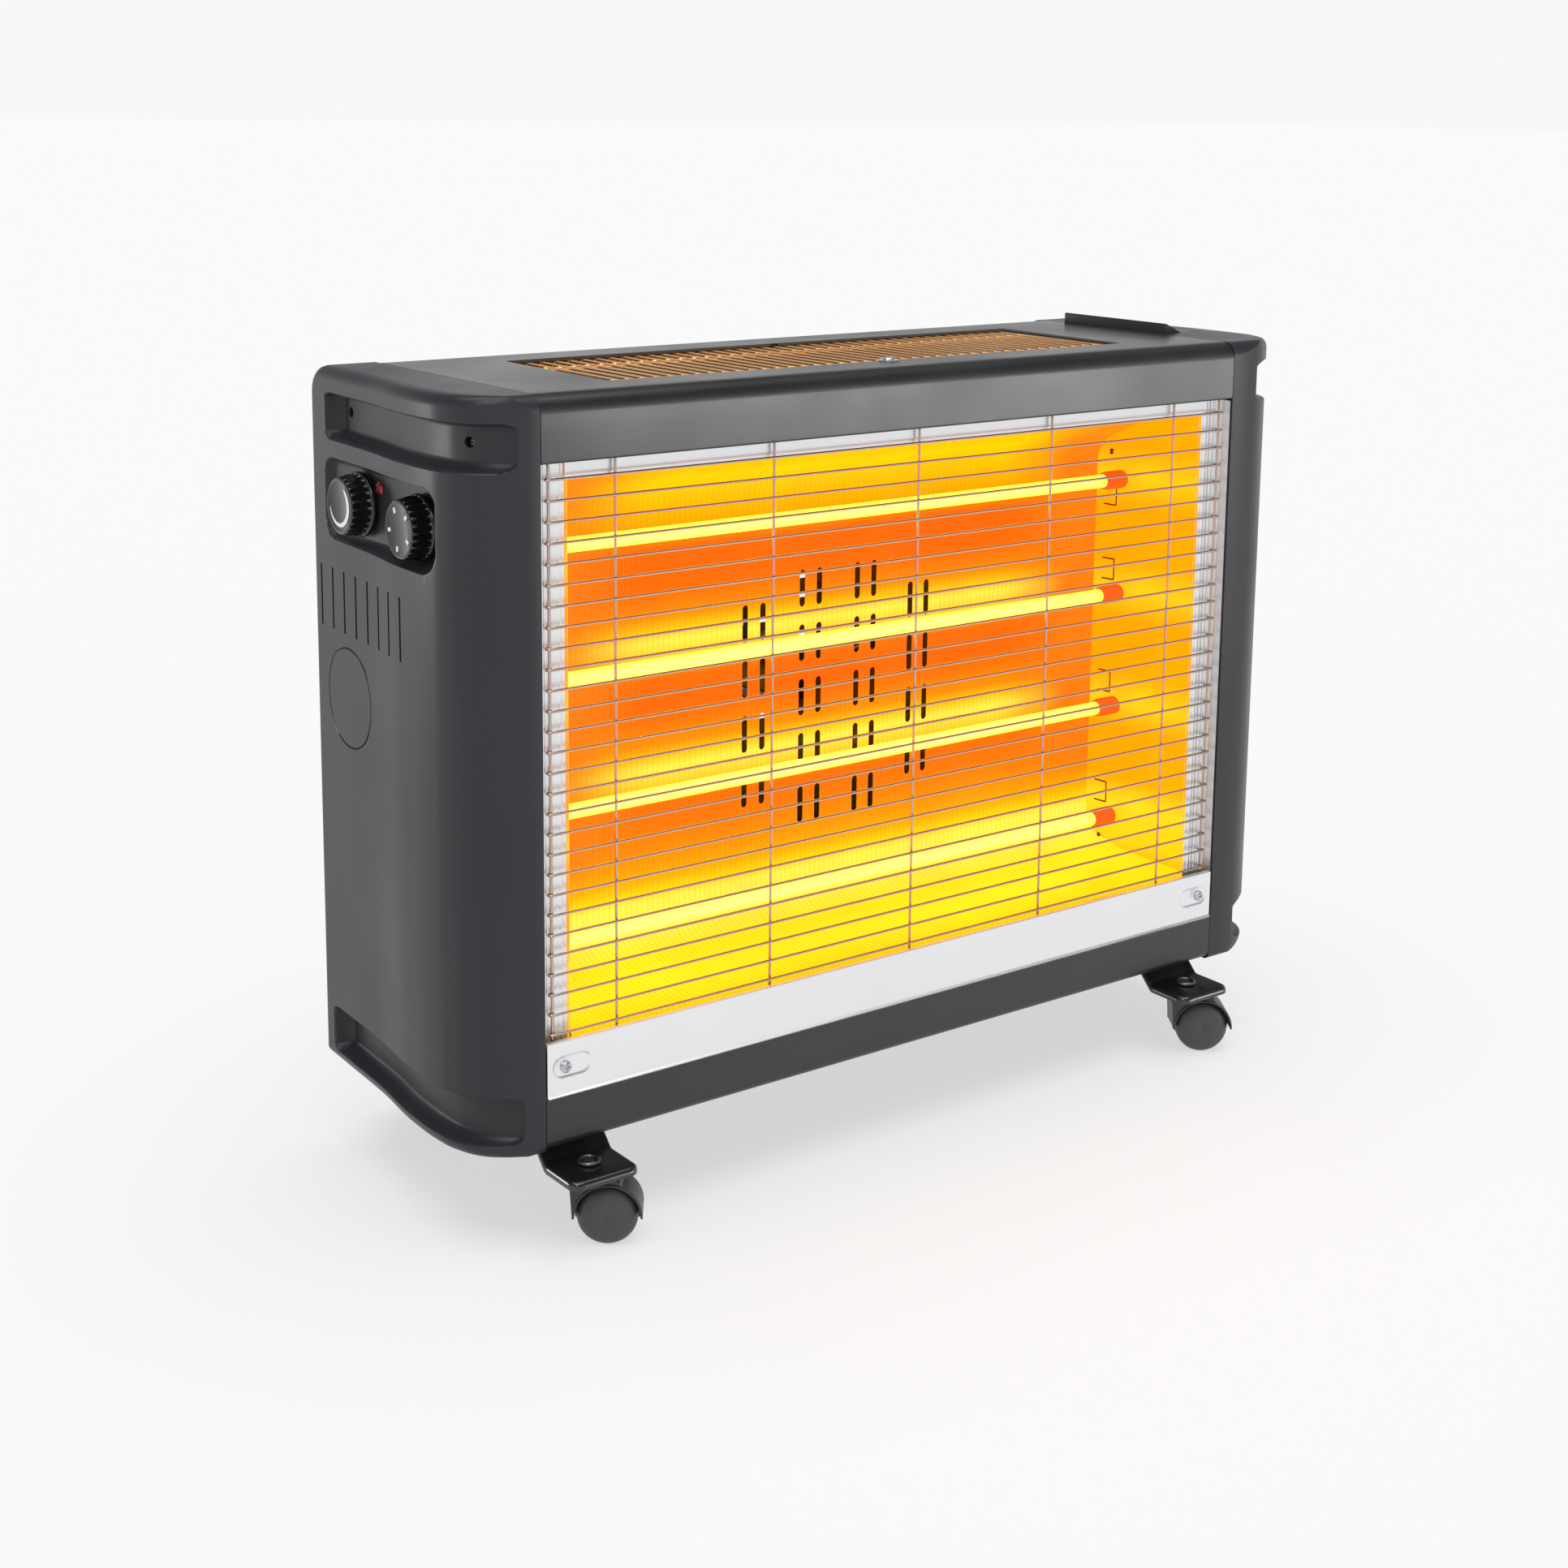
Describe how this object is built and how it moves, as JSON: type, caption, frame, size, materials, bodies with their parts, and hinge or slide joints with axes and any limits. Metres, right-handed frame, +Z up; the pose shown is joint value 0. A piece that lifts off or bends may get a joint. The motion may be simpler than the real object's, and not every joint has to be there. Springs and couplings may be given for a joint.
{
  "type": "quartz tube radiant heater",
  "caption": "Free-standing quartz tube radiant heater with a folded reflector, chrome wire guard, top grille, moulded end caps with hand grips, two dials and castors on foot bars.",
  "frame": {"origin": "centre of the bounding box footprint, on the floor", "axes": "+X to the right along the width, -Y out of the glowing front, +Z up"},
  "size_m": [0.712, 0.281, 0.5461],
  "materials": {
    "left_end_cap": "satin, fine leather grain",
    "right_end_cap": "satin, fine leather grain",
    "tray_lid": "satin, fine leather grain",
    "water_tray": "translucent white moulding",
    "top_shell": "black satin powder coat",
    "base_pan": "black satin powder coat",
    "rear_panel": "black satin powder coat",
    "left_side_panel": "bright rolled",
    "right_side_panel": "bright rolled",
    "sill_strip": "bright rolled",
    "reflector": "polished, lit by the tubes",
    "left_end_reflector": "polished, lit by the tubes",
    "right_end_reflector": "polished, lit by the tubes",
    "quartz_tube_1": "clear fused quartz, glowing",
    "heating_coil_1": "glowing resistance wire",
    "ceramic_holder_1_left": "fired ceramic, unglazed",
    "ceramic_holder_1_right": "fired ceramic, unglazed",
    "quartz_tube_2": "clear fused quartz, glowing",
    "heating_coil_2": "glowing resistance wire",
    "ceramic_holder_2_left": "fired ceramic, unglazed",
    "ceramic_holder_2_right": "fired ceramic, unglazed",
    "quartz_tube_3": "clear fused quartz, glowing",
    "heating_coil_3": "glowing resistance wire",
    "ceramic_holder_3_left": "fired ceramic, unglazed",
    "ceramic_holder_3_right": "fired ceramic, unglazed",
    "quartz_tube_4": "clear fused quartz, glowing",
    "heating_coil_4": "glowing resistance wire",
    "ceramic_holder_4_left": "fired ceramic, unglazed",
    "ceramic_holder_4_right": "fired ceramic, unglazed",
    "front_guard": "bright plated wire",
    "top_grille": "bright plated wire",
    "thermostat": "zinc plated",
    "fan_motor": "zinc plated",
    "sill_screw_left": "zinc plated",
    "sill_screw_right": "zinc plated",
    "grille_screw": "zinc plated",
    "selector_switch": "gloss black moulding",
    "thermostat_knob": "gloss black moulding",
    "selector_knob": "gloss black moulding",
    "tilt_switch": "gloss black moulding",
    "fan_impeller": "gloss black moulding",
    "cable_bushing": "gloss black moulding",
    "terminal_block": "fired ceramic, unglazed",
    "indicator_lens": "clear red moulding",
    "foot_bar_left": "gloss black enamel",
    "foot_bar_right": "gloss black enamel",
    "castor_hood_front_left": "gloss black moulding",
    "castor_wheel_front_left": "moulded nylon",
    "ring_nut_front_left": "zinc plated",
    "castor_hood_front_right": "gloss black moulding",
    "castor_wheel_front_right": "moulded nylon",
    "ring_nut_front_right": "zinc plated",
    "castor_hood_rear_left": "gloss black moulding",
    "castor_wheel_rear_left": "moulded nylon",
    "ring_nut_rear_left": "zinc plated",
    "castor_hood_rear_right": "gloss black moulding",
    "castor_wheel_rear_right": "moulded nylon",
    "ring_nut_rear_right": "zinc plated"
  },
  "bodies": {
    "heater": {"left_end_cap": "left_end_cap", "right_end_cap": "right_end_cap", "water_tray": "water_tray", "top_shell": "top_shell", "base_pan": "base_pan", "rear_panel": "rear_panel", "left_side_panel": "left_side_panel", "right_side_panel": "right_side_panel", "sill_strip": "sill_strip", "reflector": "reflector", "left_end_reflector": "left_end_reflector", "right_end_reflector": "right_end_reflector", "quartz_tube_1": "quartz_tube_1", "heating_coil_1": "heating_coil_1", "ceramic_holder_1_left": "ceramic_holder_1_left", "ceramic_holder_1_right": "ceramic_holder_1_right", "quartz_tube_2": "quartz_tube_2", "heating_coil_2": "heating_coil_2", "ceramic_holder_2_left": "ceramic_holder_2_left", "ceramic_holder_2_right": "ceramic_holder_2_right", "quartz_tube_3": "quartz_tube_3", "heating_coil_3": "heating_coil_3", "ceramic_holder_3_left": "ceramic_holder_3_left", "ceramic_holder_3_right": "ceramic_holder_3_right", "quartz_tube_4": "quartz_tube_4", "heating_coil_4": "heating_coil_4", "ceramic_holder_4_left": "ceramic_holder_4_left", "ceramic_holder_4_right": "ceramic_holder_4_right", "front_guard": "front_guard", "top_grille": "top_grille", "thermostat": "thermostat", "fan_motor": "fan_motor", "sill_screw_left": "sill_screw_left", "sill_screw_right": "sill_screw_right", "grille_screw": "grille_screw", "selector_switch": "selector_switch", "tilt_switch": "tilt_switch", "cable_bushing": "cable_bushing", "terminal_block": "terminal_block", "indicator_lens": "indicator_lens", "foot_bar_left": "foot_bar_left", "foot_bar_right": "foot_bar_right", "ring_nut_front_left": "ring_nut_front_left", "ring_nut_front_right": "ring_nut_front_right", "ring_nut_rear_left": "ring_nut_rear_left", "ring_nut_rear_right": "ring_nut_rear_right"},
    "thermostat_dial": {"thermostat_knob": "thermostat_knob"},
    "selector_dial": {"selector_knob": "selector_knob"},
    "lid": {"tray_lid": "tray_lid"},
    "fan": {"fan_impeller": "fan_impeller"},
    "castor_front_left": {"castor_hood_front_left": "castor_hood_front_left"},
    "wheel_front_left": {"castor_wheel_front_left": "castor_wheel_front_left"},
    "castor_front_right": {"castor_hood_front_right": "castor_hood_front_right"},
    "wheel_front_right": {"castor_wheel_front_right": "castor_wheel_front_right"},
    "castor_rear_left": {"castor_hood_rear_left": "castor_hood_rear_left"},
    "wheel_rear_left": {"castor_wheel_rear_left": "castor_wheel_rear_left"},
    "castor_rear_right": {"castor_hood_rear_right": "castor_hood_rear_right"},
    "wheel_rear_right": {"castor_wheel_rear_right": "castor_wheel_rear_right"}
  },
  "joints": [
    {"name": "thermostat_turn", "type": "hinge", "parent": "heater", "child": "thermostat_dial", "pos_m": [-0.34, 0.0505, 0.455], "axis": [-1, 0, 0], "range_deg": [0, 270]},
    {"name": "selector_turn", "type": "hinge", "parent": "heater", "child": "selector_dial", "pos_m": [-0.34, -0.0295, 0.452], "axis": [-1, 0, 0], "range_deg": [0, 288]},
    {"name": "lid_hinge", "type": "hinge", "parent": "heater", "child": "lid", "pos_m": [0.332, 0.0255, 0.5385], "axis": [0, 1, 0], "range_deg": [0, 100]},
    {"name": "fan_spin", "type": "hinge", "parent": "heater", "child": "fan", "pos_m": [0.006, 0.0285, 0.294], "axis": [0, -1, 0], "continuous": true},
    {"name": "swivel_front_left", "type": "hinge", "parent": "heater", "child": "castor_front_left", "pos_m": [-0.273, -0.1105, 0.05], "axis": [0, 0, 1], "continuous": true},
    {"name": "roll_front_left", "type": "hinge", "parent": "castor_front_left", "child": "wheel_front_left", "pos_m": [-0.26317, -0.11738, 0.0195], "axis": [0.5736, 0.8192, 0], "continuous": true},
    {"name": "swivel_front_right", "type": "hinge", "parent": "heater", "child": "castor_front_right", "pos_m": [0.261, -0.1105, 0.05], "axis": [0, 0, 1], "continuous": true},
    {"name": "roll_front_right", "type": "hinge", "parent": "castor_front_right", "child": "wheel_front_right", "pos_m": [0.27083, -0.11738, 0.0195], "axis": [0.5736, 0.8192, 0], "continuous": true},
    {"name": "swivel_rear_left", "type": "hinge", "parent": "heater", "child": "castor_rear_left", "pos_m": [-0.273, 0.1175, 0.05], "axis": [0, 0, 1], "continuous": true},
    {"name": "roll_rear_left", "type": "hinge", "parent": "castor_rear_left", "child": "wheel_rear_left", "pos_m": [-0.26317, 0.11062, 0.0195], "axis": [0.5736, 0.8192, 0], "continuous": true},
    {"name": "swivel_rear_right", "type": "hinge", "parent": "heater", "child": "castor_rear_right", "pos_m": [0.261, 0.1175, 0.05], "axis": [0, 0, 1], "continuous": true},
    {"name": "roll_rear_right", "type": "hinge", "parent": "castor_rear_right", "child": "wheel_rear_right", "pos_m": [0.27083, 0.11062, 0.0195], "axis": [0.5736, 0.8192, 0], "continuous": true}
  ]
}
